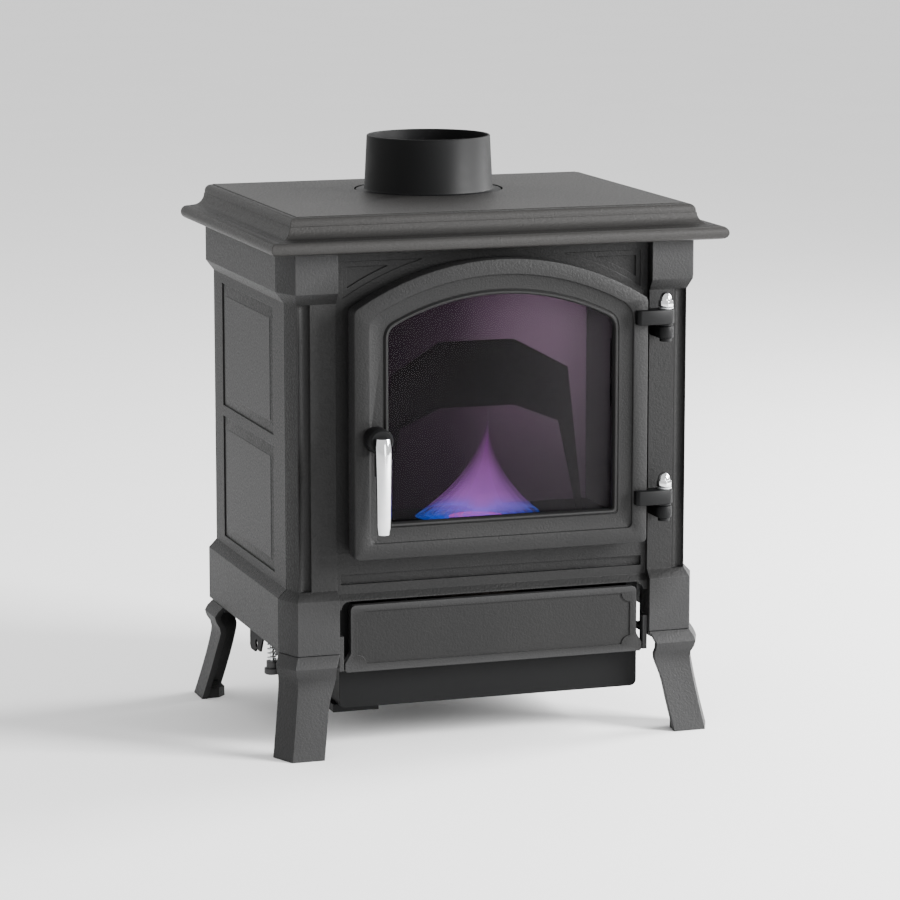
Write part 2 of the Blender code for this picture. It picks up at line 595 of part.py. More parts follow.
LEG_TOP_Z = PLINTH_BOTTOM_Z - 0.0006
for word, sign_x, rear, bolt in (("front_left", -1, False, FRONT_BOLT), ("front_right", 1, False, FRONT_BOLT),
                                 ("rear_left", -1, True, REAR_BOLT), ("rear_right", 1, True, REAR_BOLT)):
    steps = 18
    levels = []
    for i in range(steps + 1):
        share = i / steps
        levels.append(leg_level(sign_x, rear, LEG_TOP_Z * (1 - share), leg_width(share), share))
    levels.append(leg_level(sign_x, rear, -0.003, leg_width(1.0), 1.0))
    leg = place("leg_" + word, rings(levels), CAST)
    pad_out = [(0.0041, LEG_SIDE_W - 0.0015), (CHAMFER_X + 0.0027, 0.0041),
               (LEG_FOOT_W - 0.002, 0.0041), (LEG_FOOT_W - 0.002, LEG_SIDE_W - 0.010),
               (LEG_FOOT_W - 0.010, LEG_SIDE_W - 0.002)]
    pad = prism([leg_point(sign_x, rear, a - LEG_SIDE_FLARE, d - LEG_FACE_FLARE) for a, d in pad_out], "z", -0.004, PAD_H)
    combine(leg, helper("pad_" + word, pad), "UNION")
    floor_cut = block(sorted((sign_x * (BODY_HALF_X + 0.04), sign_x * (BODY_HALF_X - 0.10))), (-0.3, 0.3), (-0.02, 0.0))
    combine(leg, helper("floor_cut_" + word, floor_cut), "DIFFERENCE")
    flange_out = [(0.0030, BOLT_DEEP + 0.011), (0.0030, CHAMFER_Y + 0.001), (CHAMFER_X + 0.001, 0.003),
                  (LEG_FRONT_W - 0.003, 0.003), (LEG_FRONT_W - 0.003, BOLT_DEEP + 0.011)]
    flange = prism([leg_point(sign_x, rear, a, d) for a, d in flange_out], "z", LEG_TOP_Z - LEG_FLANGE_T, LEG_TOP_Z)
    combine(leg, helper("flange_" + word, flange), "UNION")
    bolt_at = (sign_x * bolt[0], bolt[1])
    hole = turned([(BOLT_R + GAP, LEG_TOP_Z - 0.02), (BOLT_R + GAP, LEG_TOP_Z + 0.02)], bolt_at, steps=16)
    combine(leg, helper("leg_hole_" + word, hole), "DIFFERENCE")
    bolt_head = LEG_TOP_Z - LEG_FLANGE_T - GAP
    bolt_shape = turned([(BOLT_HEAD_R, bolt_head - BOLT_HEAD_H), (BOLT_HEAD_R, bolt_head), (BOLT_R, bolt_head),
                         (BOLT_R, PLINTH_BOTTOM_Z + LUG_T + 0.004)], bolt_at, steps=12)
    place("leg_bolt_" + word, bolt_shape, ZINC)

# ---------------------------------------------------------------- door
door = pivot("door_axis", (HINGE_X, HINGE_Y, 0))
rear_y = DOOR_BACK_Y
frame_y = DOOR_FRONT_Y + DOOR_STEP
rebate_y = GLASS_FRONT_Y - GASKET_T - 2 * GAP
inner = GLASS_IN
door_levels = [
    arch_ring(0.0, rear_y, 0.008, 0.0045),
    arch_ring(0.0, DOOR_FRONT_Y + 0.0016, 0.008, 0.0045),
    arch_ring(0.0005, DOOR_FRONT_Y + 0.0005, 0.008, 0.0042),
    arch_ring(0.0016, DOOR_FRONT_Y, 0.0075, 0.0040),
    arch_ring(BAND_W - 0.0010, DOOR_FRONT_Y, 0.0200, 0.0050),
    arch_ring(BAND_W - 0.0002, DOOR_FRONT_Y + 0.0006, 0.0200, 0.0050),
    arch_ring(BAND_W, frame_y - 0.0008, 0.0200, 0.0050),
    arch_ring(BAND_W + 0.0014, frame_y, 0.0190, 0.0044),
    arch_ring(BAND_W + FRAME_W - 0.0006, frame_y, 0.0170, 0.0040),
    arch_ring(BAND_W + FRAME_W, frame_y + 0.0007, 0.0170, 0.0040),
    arch_ring(BAND_W + FRAME_W + 0.0008, frame_y - 0.0005, 0.0165, 0.0038),
    arch_ring(BAND_W + FRAME_W + 0.0020, frame_y - 0.0017, 0.0160, 0.0036),
    arch_ring(BAND_W + FRAME_W + 0.0036, frame_y - 0.0014, 0.0150, 0.0034),
    arch_ring(inner, frame_y + 0.0006, 0.0140, 0.0030),
    arch_ring(inner, rebate_y, 0.0140, 0.0030),
    arch_ring(inner - REBATE_W, rebate_y, 0.0085, 0.0028),
    arch_ring(inner - REBATE_W, rear_y, 0.0085, 0.0028),
    arch_ring(ROPE_AT + ROPE_W, rear_y, 0.0085, 0.0030),
    arch_ring(ROPE_AT + ROPE_W, rear_y - ROPE_DEEP, 0.0085, 0.0030),
    arch_ring(ROPE_AT, rear_y - ROPE_DEEP, 0.0085, 0.0030),
    arch_ring(ROPE_AT, rear_y, 0.0085, 0.0030),
]
door_frame = place("door_frame", rings(door_levels, closed=True), CAST, door)
hub_seat = turned([(HUB_R - 0.001, rebate_y - 0.0005), (HUB_R - 0.001, DOOR_FRONT_Y + 0.0002),
                   (HUB_R - 0.0018, DOOR_FRONT_Y - 0.0008)], (HANDLE_X, HANDLE_Z), "y", 28)
combine(door_frame, helper("hub_seat", hub_seat, door), "UNION")
hole = turned([(SPINDLE_R + GAP, rear_y - 0.05), (SPINDLE_R + GAP, rear_y + 0.05)],
              (HANDLE_X, HANDLE_Z), "y", 20)
combine(door_frame, helper("spindle_hole", hole, door), "DIFFERENCE")

glass_edge = inner - REBATE_W + 0.0006
glass_levels = [arch_ring(glass_edge, GLASS_FRONT_Y, 0.0085, 0.0028),
                arch_ring(glass_edge, GLASS_FRONT_Y + GLASS_T, 0.0085, 0.0028)]
place("door_glass", rings(glass_levels), GLAZING, door)
gasket_back = GLASS_FRONT_Y - GAP
gasket_levels = [arch_ring(glass_edge, gasket_back, 0.0085, 0.0028),
                 arch_ring(glass_edge, gasket_back - GASKET_T, 0.0085, 0.0028),
                 arch_ring(inner - 0.0008, gasket_back - GASKET_T, 0.0140, 0.0028),
                 arch_ring(inner - 0.0008, gasket_back, 0.0140, 0.0028)]
place("glass_gasket", rings(gasket_levels, closed=True), ROPE, door)

rope_levels = []
rope_mid = ROPE_AT + ROPE_W / 2
rope_half = ROPE_W / 2 - GAP
rope_front = rear_y - ROPE_DEEP + GAP
rope_end = PLATE_FRONT_Y - RIM_H - GAP
for i in range(10):
    angle = 2 * math.pi * i / 10
    deep = (rope_front + rope_end) / 2 - (rope_end - rope_front) / 2 * math.cos(angle)
    rope_levels.append(arch_ring(rope_mid + rope_half * math.sin(angle), deep, 0.0085, 0.0035))
place("door_rope_seal", rings(rope_levels, closed=True), ROPE, door)

# clips that hold the glass from behind
CLIP_T = 0.0016
clip_y = rear_y + GAP
glass_back = GLASS_FRONT_Y + GLASS_T
stile = DOOR_HALF_X - inner + REBATE_W
clip_outline = [(0.0045, clip_y), (0.0045, clip_y + CLIP_T), (-0.0030, clip_y + CLIP_T),
                (-0.0030, glass_back + GAP + CLIP_T), (-0.0065, glass_back + GAP + CLIP_T),
                (-0.0065, glass_back + GAP), (-0.0014, glass_back + GAP), (-0.0014, clip_y)]
CLIP_SPAN = (0.334, 0.402)
for word, direction in (("left", -1), ("right", 1), ("bottom", 0)):
    if direction:
        outline = [(direction * (stile + out), y) for out, y in clip_outline]
        shape = prism(outline, "z", *CLIP_SPAN)
        at = (direction * (stile + 0.0020), sum(CLIP_SPAN) / 2)
    else:
        sill = DOOR_BOTTOM_Z + inner - REBATE_W
        outline = [(y, sill - out) for out, y in clip_outline]
        shape = prism(outline, "x", -0.050, 0.050)
        at = (0.0, sill - 0.0020)
    place("glass_clip_" + word, shape, ZINC, door, smooth=False)
    head_y = clip_y + CLIP_T + GAP
    screw = turned([(0.0021, head_y), (0.0021, head_y + 0.0014), (0.0010, head_y + 0.0020)], at, "y", 12)
    place("clip_screw_" + word, screw, ZINC, door)

# ---------------------------------------------------------------- hinges
for z, level in zip(HINGE_Z, ("lower", "upper")):
    axis = (HINGE_X, HINGE_Y)
    arm_low = z - ARM_H / 2
    arm_high = z + ARM_H / 2
    knuckle = 0.0085
    arm_back = DOOR_FRONT_Y - GAP
    arm_front = arm_back - ARM_T
    arm_start = DOOR_HALF_X - BAND_W + 0.0016
    turn = arc_points(axis, knuckle, 90, -90, 8)
    outline = [(arm_start, arm_back), (DOOR_HALF_X + 0.0006, arm_back), (DOOR_HALF_X + 0.0006, HINGE_Y + 0.004),
               (DOOR_HALF_X + 0.0040, HINGE_Y + knuckle)]
    outline += turn
    outline += [(HINGE_X - 0.006, arm_front), (arm_start + 0.003, arm_front), (arm_start, arm_front + 0.003)]
    arm = place("hinge_arm_" + level, prism(outline, "z", arm_low, arm_high), SMOOTH_STEEL, door)
    hole = turned([(PIN_R + GAP, arm_low - 0.01), (PIN_R + GAP, arm_high + 0.01)], axis, steps=20)
    combine(arm, helper("arm_hole_" + level, hole, door), "DIFFERENCE")
    soften(arm, 0.0010, 2)
    lug_high = arm_low - LUG_GAP
    lug_low = lug_high - LUG_H
    nose = arc_points(axis, LUG_W / 2, 0, -180, 10)
    outline = [(HINGE_X - LUG_W / 2, SHAFT_FRONT_Y - GAP), (HINGE_X + LUG_W / 2, SHAFT_FRONT_Y - GAP)] + nose
    bracket = place("hinge_bracket_" + level, prism(outline, "z", lug_low, lug_high), SMOOTH_STEEL)
    hole = turned([(PIN_R + GAP, lug_low - 0.01), (PIN_R + GAP, lug_high + 0.01)], axis, steps=20)
    combine(bracket, helper("lug_bore_" + level, hole), "DIFFERENCE")
    soften(bracket, 0.0010, 2)
    nut_low = arm_high + WASHER_T + 2 * GAP
    pin = turned([(PIN_R + 0.0020, lug_low - GAP - 0.0030), (PIN_R + 0.0020, lug_low - GAP),
                  (PIN_R, lug_low - GAP), (PIN_R, nut_low + 0.0060)], axis, steps=20)
    place("hinge_pin_" + level, pin, ZINC)
    spacer = turned([(PIN_R + GAP, lug_high + GAP), (0.0070, lug_high + GAP), (0.0070, arm_low - GAP),
                     (PIN_R + GAP, arm_low - GAP)], axis, steps=24, loop=True)
    place("hinge_spacer_" + level, spacer, ZINC)
    washer = turned([(PIN_R + GAP, arm_high + GAP), (0.0078, arm_high + GAP), (0.0078, arm_high + GAP + WASHER_T),
                     (PIN_R + GAP, arm_high + GAP + WASHER_T)], axis, steps=24, loop=True)
    place("hinge_washer_" + level, washer, ZINC)
    nut = place("hinge_cap_nut_" + level, prism(hexagon(axis, NUT_AF, math.pi / 6), "z", nut_low,
                                                nut_low + NUT_HEX_H), BRIGHT)
    soften(nut, 0.0006, 2)
    dome_r = NUT_AF / 2 - 0.0004
    dome_z = nut_low + NUT_HEX_H - 0.0006
    dome = [(dome_r, dome_z)]
    dome += [(dome_r * math.cos(math.radians(a)), dome_z + 0.0012 + 0.0078 * math.sin(math.radians(a)))
             for a in (0, 18, 36, 54, 72, 86)]
    combine(nut, helper("nut_dome_" + level, turned(dome, axis, steps=24)), "UNION")
    bore = turned([(PIN_R + GAP, nut_low - 0.01), (PIN_R + GAP, nut_low + 0.0068)], axis, steps=20)
    combine(nut, helper("nut_bore_" + level, bore), "DIFFERENCE")

# ---------------------------------------------------------------- handle and latch
handle = pivot("handle_axis", (HANDLE_X, DOOR_FRONT_Y, HANDLE_Z), door)
handle_at = Vector((HANDLE_X, DOOR_FRONT_Y, HANDLE_Z))


def on_handle(name, shape, look, smooth=True):
    made = place(name, shape, look, None, smooth)
    made.data.transform(Matrix.Translation(-handle_at))
    made.parent = handle
    return made


hub_start = DOOR_FRONT_Y - 0.0008 - GAP
hub_end = hub_start - HUB_LEN
hub = on_handle("handle_hub", turned([(HUB_R - 0.0015, hub_start), (HUB_R, hub_start - 0.0015),
                                      (HUB_R, hub_end + 0.0030), (HUB_R - 0.0022, hub_end)],
                                     (HANDLE_X, HANDLE_Z), "y", 32), SMOOTH_STEEL)
tongue = prism([(HANDLE_X - 0.0062, HANDLE_Z + 0.004), (HANDLE_X - 0.0058, HANDLE_Z - 0.034),
                (HANDLE_X + 0.0058, HANDLE_Z - 0.034), (HANDLE_X + 0.0062, HANDLE_Z + 0.004)],
               "y", hub_end - 0.0022, hub_end + 0.0048)
tongue_helper = on_handle("hub_tongue", tongue, CAST, False)
tongue_helper.hide_render = True
tongue_helper.display_type = "WIRE"
combine(hub, tongue_helper, "UNION")
bore = on_handle("hub_bore", turned([(SPINDLE_R + GAP, hub_start + 0.01), (SPINDLE_R + GAP, hub_end + 0.0080)],
                                    (HANDLE_X, HANDLE_Z), "y", 20), CAST, False)
bore.hide_render = True
bore.display_type = "WIRE"
combine(hub, bore, "DIFFERENCE")

grip_back = hub_end - 0.0022 - GAP
grip_levels = []
GRIP_STEPS = 12
for i in range(GRIP_STEPS + 1):
    share = i / GRIP_STEPS
    z = HANDLE_Z + 0.0045 - GRIP_LEN * share
    cap = 1.0
    if share == 0 or share == 1:
        cap = 0.86
    half = (GRIP_TOP_W + (GRIP_END_W - GRIP_TOP_W) * share) / 2 * cap
    thick = GRIP_T * (0.84 + 0.16 * math.sin(math.pi * share)) * (cap if cap < 1 else 1)
    front_arc = [(HANDLE_X + half * math.sin(math.radians(a)),
                  grip_back - thick * 0.35 - thick * 0.65 * math.cos(math.radians(a)), z)
                 for a in (-90, -72, -54, -36, -18, 0, 18, 36, 54, 72, 90)]
    grip_levels.append(front_arc + [(HANDLE_X + half * 0.86, grip_back, z), (HANDLE_X - half * 0.86, grip_back, z)])
on_handle("handle_grip", rings(grip_levels), BRIGHT)

cam_front = PLATE_BACK_Y + CAM_GAP
cam_back = cam_front + CAM_T
NUT_T = 0.0045
on_handle("latch_spindle", turned([(SPINDLE_R, hub_end + 0.0084), (SPINDLE_R, cam_back + NUT_T + 0.0015)],
                                  (HANDLE_X, HANDLE_Z), "y", 20), ZINC)
cam_boss = 0.0056
cam_end = HANDLE_Z - CAM_REACH
cam_outline = arc_points((HANDLE_X, HANDLE_Z), cam_boss, 0, 180, 10)
cam_outline += [(HANDLE_X - 0.0052, cam_end + 0.003), (HANDLE_X - 0.003, cam_end),
                (HANDLE_X + 0.003, cam_end), (HANDLE_X + 0.0052, cam_end + 0.003)]
cam = on_handle("latch_cam", prism(cam_outline, "y", cam_front, cam_back), ZINC, False)
cam_bore = on_handle("cam_bore", turned([(SPINDLE_R + GAP, cam_front - 0.01), (SPINDLE_R + GAP, cam_back + 0.01)],
                                        (HANDLE_X, HANDLE_Z), "y", 20), CAST, False)
cam_bore.hide_render = True
cam_bore.display_type = "WIRE"
combine(cam, cam_bore, "DIFFERENCE")
nut = on_handle("latch_nut", prism(hexagon((HANDLE_X, HANDLE_Z), 0.0100, math.pi / 6), "y", cam_back + GAP,
                                   cam_back + GAP + NUT_T), ZINC, False)
combine(nut, cam_bore, "DIFFERENCE")

# ---------------------------------------------------------------- control cover
flap_y = FLAP_AXIS_Y
flap = pivot("flap_axis", (0, flap_y, PIN_HOLE_Z))
corner = 0.005
ear_z = FLAP_BOTTOM_Z + 0.019
flap_outline = [(-FLAP_HALF_X, ear_z), (-FLAP_HALF_X - FLAP_EAR, FLAP_BOTTOM_Z + 0.009),
                (-FLAP_HALF_X - FLAP_EAR, FLAP_BOTTOM_Z + 0.002), (-FLAP_HALF_X - FLAP_EAR + 0.002, FLAP_BOTTOM_Z)]
flap_outline += [(-x, z) for x, z in reversed(flap_outline)]
flap_outline += arc_points((FLAP_HALF_X - corner, FLAP_TOP_Z - corner), corner, 0, 90, 4)
flap_outline += arc_points((-FLAP_HALF_X + corner, FLAP_TOP_Z - corner), corner, 90, 180, 4)
cover = place("control_flap", prism(flap_outline, "y", FLAP_FRONT_Y, FLAP_FRONT_Y + FLAP_T), CAST, flap)
left = -FLAP_HALF_X + FLAP_FIELD
right = -left
low = FLAP_BOTTOM_Z + FLAP_FIELD + 0.001
high = FLAP_TOP_Z - FLAP_FIELD
field = arc_points((left, low), FLAP_NOTCH, 90, 0, 5) + arc_points((right, low), FLAP_NOTCH, 180, 90, 5)
field += arc_points((right, high), FLAP_NOTCH, 270, 180, 5) + arc_points((left, high), FLAP_NOTCH, 0, -90, 5)
sink = prism(field, "y", FLAP_FRONT_Y - 0.01, FLAP_FRONT_Y + 0.0012)
combine(cover, helper("flap_field", sink, flap), "DIFFERENCE")
for side, word in ((-1, "left"), (1, "right")):
    start = side * (FLAP_HALF_X + FLAP_EAR - 0.010)
    end = side * (EYE_X[1] - 0.0003)
    hole = turned([(FLAP_PIN_R + GAP, side * (FLAP_HALF_X + FLAP_EAR - 0.0104)),
                   (FLAP_PIN_R + GAP, side * (FLAP_HALF_X + 0.05))], (flap_y, PIN_HOLE_Z), "x", 14)
    combine(cover, helper("ear_hole_" + word, hole, flap), "DIFFERENCE")
    pin = turned([(FLAP_PIN_R, start), (FLAP_PIN_R, end)], (flap_y, PIN_HOLE_Z), "x", 14)
    place("flap_pin_" + word, pin, ZINC, flap)

# ---------------------------------------------------------------- burner
pot_top = FLOOR_Z + GAP
pot_profile = [(0.004, POT_BOTTOM_Z), (POT_R - 0.004, POT_BOTTOM_Z), (POT_R, POT_BOTTOM_Z + 0.004), (POT_R, pot_top),
               (POT_FLANGE_R, pot_top), (POT_FLANGE_R, pot_top + 0.003), (POT_R - POT_WALL, pot_top + 0.003),
               (POT_R - POT_WALL, POT_BOTTOM_Z + POT_WALL), (0.004, POT_BOTTOM_Z + POT_WALL)]
place("burner_pot", turned(pot_profile, (BURNER_X, BURNER_Y), steps=48, loop=True), STAINLESS)
ring_low = pot_top + 0.003 + GAP
ring_profile = [(0.0450, ring_low + RING_H - 0.002), (0.0450, ring_low + RING_H), (0.0615, ring_low + 0.0045),
                (0.0660, ring_low + 0.0020), (0.0660, ring_low), (0.0600, ring_low), (0.0570, ring_low + 0.0020)]
place("flame_ring", turned(ring_profile, (BURNER_X, BURNER_Y), steps=48, loop=True), STAINLESS)
cup_low = POT_BOTTOM_Z + POT_WALL + GAP
cup_top = ring_low + RING_H - 0.001
cup_profile = [(CUP_R, cup_low), (CUP_R, cup_top), (CUP_R - 0.002, cup_top), (CUP_R - 0.002, cup_low)]
place("catalyser_cup", turned(cup_profile, (BURNER_X, BURNER_Y), steps=36, loop=True), STAINLESS)

# folded baffle over the flame, standing on two tapered legs
stand = FLOOR_Z + GAP
baffle_cx = BURNER_X + 0.003
wing_forward = 0.012
drop_top = 0.0295
drop_low = 0.0175
leg_w = 0.009
leg_out = 0.019                 # how far each leg leans out to its toe
baffle_low = BAFFLE_TOP_Z - BAFFLE_H


def baffle_side(shift):
    """One face of the folded sheet, moved back by shift; a closed outline in order."""
    x0 = baffle_cx - BAFFLE_HALF_X
    x1 = baffle_cx + BAFFLE_HALF_X
    x2 = x1 + BAFFLE_WING
    xm = x0 - BAFFLE_WING
    y = BAFFLE_Y + shift
    return [
        (xm - leg_out, y - wing_forward, stand), (xm - leg_out + 0.004, y - wing_forward, stand),
        (xm + leg_w, y - wing_forward * (1 - leg_w / BAFFLE_WING), baffle_low - drop_low),
        (x0, y, baffle_low), (x1, y, baffle_low),
        (x2 - leg_w, y - wing_forward * (1 - leg_w / BAFFLE_WING), baffle_low - drop_low),
        (x2 + leg_out - 0.004, y - wing_forward, stand), (x2 + leg_out, y - wing_forward, stand),
        (x2, y - wing_forward, BAFFLE_TOP_Z - drop_top), (x1, y, BAFFLE_TOP_Z), (x0, y, BAFFLE_TOP_Z),
        (xm, y - wing_forward, BAFFLE_TOP_Z - drop_top)]


def folded_sheet():
    shape = bmesh.new()
    near = [shape.verts.new(p) for p in baffle_side(0)]
    far = [shape.verts.new(p) for p in baffle_side(SHEET * 1.3)]
    count = len(near)
    for i in range(count):
        j = (i + 1) % count
        shape.faces.new((near[i], near[j], far[j], far[i]))
    for ring, flip in ((near, False), (far, True)):
        for face in ((0, 1, 2, 11), (2, 3, 10, 11), (3, 4, 9, 10), (4, 5, 8, 9), (5, 6, 7, 8)):
            order = [ring[k] for k in face]
            if flip:
                order.reverse()
            shape.faces.new(order)
    return shape


place("baffle", folded_sheet(), SMOOTH_STEEL, smooth=False)

# ---------------------------------------------------------------- tray under the burner
tray_top = FLOOR_Z - FLOOR_T - GAP
tray_corner = 0.006
tray_section = arc_points((-TRAY_HALF_X + tray_corner, TRAY_BOTTOM_Z + tray_corner), tray_corner, 180, 270, 4)
tray_section += arc_points((TRAY_HALF_X - tray_corner, TRAY_BOTTOM_Z + tray_corner), tray_corner, 270, 360, 4)
tray_section += [(TRAY_HALF_X, tray_top), (-TRAY_HALF_X, tray_top)]
tray = place("burner_tray", prism(tray_section, "y", TRAY_FRONT_Y, TRAY_BACK_Y), SMOOTH_STEEL)
tray_inside = block((-TRAY_HALF_X + SHEET, TRAY_HALF_X - SHEET), (TRAY_FRONT_Y + SHEET, TRAY_BACK_Y - SHEET),
                    (TRAY_BOTTOM_Z + SHEET + 0.001, tray_top + 0.01))
tray_cut = helper("tray_inside", tray_inside)
tray_round = tray_cut.modifiers.new("round", "BEVEL")
tray_round.width = tray_corner - SHEET
tray_round.segments = 3
tray_round.limit_method = "ANGLE"
tray_round.angle_limit = math.radians(40)
combine(tray, tray_cut, "DIFFERENCE")
sole = block((-0.160, -0.113), (TRAY_FRONT_Y + 0.011, -0.030), (TRAY_BOTTOM_Z - 0.0065, TRAY_BOTTOM_Z + SHEET))
combine(tray, helper("tray_sole", sole), "UNION")
window = block((-TRAY_HALF_X + 0.012, TRAY_HALF_X - 0.012), (TRAY_FRONT_Y - 0.01, TRAY_FRONT_Y + 0.012),
               (TRAY_LIP_Z, tray_top - 0.010))
combine(tray, helper("tray_window", window), "DIFFERENCE")

# ---------------------------------------------------------------- fuel gear
valve = place("oil_control_valve", block(VALVE_X, VALVE_Y, VALVE_Z), ZINC)
soften(valve, 0.003, 2)
lid = block((VALVE_X[0] - 0.002, VALVE_X[1] + 0.002), (VALVE_Y[0] - 0.002, VALVE_Y[1] + 0.002),
            (VALVE_Z[1] - 0.014, VALVE_Z[1] - 0.008))
combine(valve, helper("valve_rim", lid), "UNION")
foot = block((VALVE_X[0] + 0.020, VALVE_X[1] - 0.020), (VALVE_Y[0] + 0.012, VALVE_Y[1] - 0.012),
             (TRAY_BOTTOM_Z + SHEET + 0.001 + GAP, VALVE_Z[0] + 0.005))
combine(valve, helper("valve_foot", foot), "UNION")

dial_x = (VALVE_X[0] + VALVE_X[1]) / 2
dial_at = (dial_x, VALVE_Y[0] - 0.002 - GAP, DIAL_Z)
dial = pivot("dial_axis", dial_at)
dial_y = dial_at[1]
dial_body = turned([(DIAL_R, dial_y), (DIAL_R, dial_y - 0.003), (DIAL_R - 0.0035, dial_y - 0.0045),
                    (DIAL_R - 0.0042, dial_y - DIAL_T + 0.001), (DIAL_R - 0.0052, dial_y - DIAL_T)],
                   (dial_x, DIAL_Z), "y", 32)
knob = place("control_dial", dial_body, BLACK_PLASTIC, dial)
pointer = block((dial_x - 0.0011, dial_x + 0.0011), (dial_y - DIAL_T - 0.0010, dial_y - 0.002),
                (DIAL_Z + 0.001, DIAL_Z + DIAL_R - 0.0032))
combine(knob, helper("dial_pointer", pointer, dial), "UNION")

FEED_Z = 0.098
FEED_Y = BURNER_Y - 0.030
feed_start = VALVE_X[1] + GAP
feed_end = BURNER_X - math.sqrt(POT_R ** 2 - (abs(FEED_Y - BURNER_Y) - 0.0062) ** 2)
feed = [(0.0060, feed_start), (0.0060, feed_start + 0.007), (0.0040, feed_start + 0.007),
        (0.0040, feed_end - 0.007), (0.0060, feed_end - 0.007), (0.0060, feed_end - 0.0005)]
place("fuel_feed_pipe", turned(feed, (FEED_Y, FEED_Z), "x", 18), BRASS)

PIPE_R = 0.003
PIPE_Z = 0.0985
pipe_end = VALVE_X[0] - GAP
PIPE_Y = -0.066
hole = turned([(PIPE_R + 0.0012, -TRAY_HALF_X - 0.01), (PIPE_R + 0.0012, -TRAY_HALF_X + 0.004)], (PIPE_Y, PIPE_Z), "x", 16)
combine(tray, helper("tray_pipe_hole", hole), "DIFFERENCE")
curve = bpy.data.curves.new("fuel_supply_pipe", "CURVE")
curve.dimensions = "3D"
curve.bevel_depth = PIPE_R
curve.bevel_resolution = 2
curve.use_fill_caps = True
curve.resolution_u = 6
spline = curve.splines.new("BEZIER")
spline.bezier_points.add(2)
shut_r = 0.0095
pipe_points = (((SHUT_X, SHUT_Y - shut_r - GAP, PIPE_Z), (0, -0.045, 0)),
               ((-TRAY_HALF_X - 0.004, PIPE_Y, PIPE_Z), (0.014, 0, 0)),
               ((pipe_end, PIPE_Y, PIPE_Z), (0.008, 0, 0)))
for point, (at, pull) in zip(spline.bezier_points, pipe_points):
    point.co = at
    point.handle_left = Vector(at) - Vector(pull)
    point.handle_right = Vector(at) + Vector(pull)
pipe = bpy.data.objects.new("fuel_supply_pipe", curve)
bpy.context.scene.collection.objects.link(pipe)
curve.materials.append(material("fuel_supply_pipe_finish", **BRASS))

shut_top = SHUT_Z + 0.0185
shut = turned([(0.0050, SHUT_Z), (shut_r, SHUT_Z), (shut_r, shut_top), (0.0065, shut_top), (0.0065, shut_top + 0.010),
               (STEM_R + GAP, shut_top + 0.010), (STEM_R + GAP, SHUT_Z + 0.0002)], (SHUT_X, SHUT_Y), steps=24, loop=True)
place("shutoff_valve", shut, BRASS)

bracket_t = 0.002
bracket_x = -SIDE_INNER_X + GAP
tab_y = SHUT_Y - 0.0095
tab_end = tab_y + 0.049
tab_low = PLINTH_BOTTOM_Z - 0.034
bracket_outline = [(tab_y, tab_low + 0.020), (tab_y + 0.010, tab_low + 0.004), (tab_y + 0.026, tab_low + 0.004),
                   (tab_y + 0.030, tab_low), (tab_end - 0.004, tab_low), (tab_end, tab_low + 0.004),
                   (tab_end, PLINTH_BOTTOM_Z + 0.030), (tab_y, PLINTH_BOTTOM_Z + 0.030)]
bracket = place("valve_bracket", prism(bracket_outline, "x", bracket_x, bracket_x + bracket_t), SMOOTH_STEEL)
shelf = block((bracket_x + 0.001, SHUT_X + 0.014), (tab_y + 0.001, SHUT_Y + 0.015),
              (shut_top + GAP, shut_top + GAP + bracket_t))
combine(bracket, helper("bracket_shelf", shelf), "UNION")
hole = turned([(0.0065 + GAP, shut_top - 0.01), (0.0065 + GAP, shut_top + 0.02)], (SHUT_X, SHUT_Y), steps=20)
combine(bracket, helper("bracket_seat", hole), "DIFFERENCE")
hole = turned([(0.0042, bracket_x - 0.01), (0.0042, bracket_x + 0.01)], (tab_y + 0.024, PLINTH_BOTTOM_Z - 0.024), "x", 18)
combine(bracket, helper("bracket_hole", hole), "DIFFERENCE")

plunger = pivot("plunger_axis", (SHUT_X, SHUT_Y, KNOB_BOTTOM_Z))
knob_top = KNOB_BOTTOM_Z + KNOB_H
cap_profile = [(KNOB_R - 0.001, KNOB_BOTTOM_Z), (KNOB_R, KNOB_BOTTOM_Z + 0.001), (KNOB_R, KNOB_BOTTOM_Z + 0.006),
               (KNOB_R - 0.0022, KNOB_BOTTOM_Z + 0.0065), (KNOB_R - 0.0022, knob_top), (STEM_R + GAP, knob_top),
               (STEM_R + GAP, KNOB_BOTTOM_Z + 0.004), (0.0004, KNOB_BOTTOM_Z + 0.004)]
knob_shape = turned(cap_profile, (SHUT_X, SHUT_Y), steps=28)
place("plunger_knob", knob_shape, BLACK_PLASTIC, plunger)
stem = turned([(STEM_R, KNOB_BOTTOM_Z + 0.0045), (STEM_R, SHUT_Z + 0.020)], (SHUT_X, SHUT_Y), steps=16)
place("plunger_stem", stem, BRIGHT, plunger)

SPRING_R = 0.0042
WIRE_R = 0.0008
TURNS = 5
spring_low = knob_top + GAP + WIRE_R
spring_high = SHUT_Z - GAP - WIRE_R
spring_levels = []
SPRING_STEPS = 14 * TURNS
for i in range(SPRING_STEPS + 1):
    angle = 2 * math.pi * i / 14
    z = spring_low + (spring_high - spring_low) * i / SPRING_STEPS
    level = []
    for k in range(6):
        around = 2 * math.pi * k / 6
        radius = SPRING_R + WIRE_R * math.cos(around)
        level.append((SHUT_X + radius * math.cos(angle), SHUT_Y + radius * math.sin(angle),
                      z + WIRE_R * math.sin(around)))
    spring_levels.append(level)
place("plunger_spring", rings(spring_levels), ZINC)
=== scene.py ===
import math

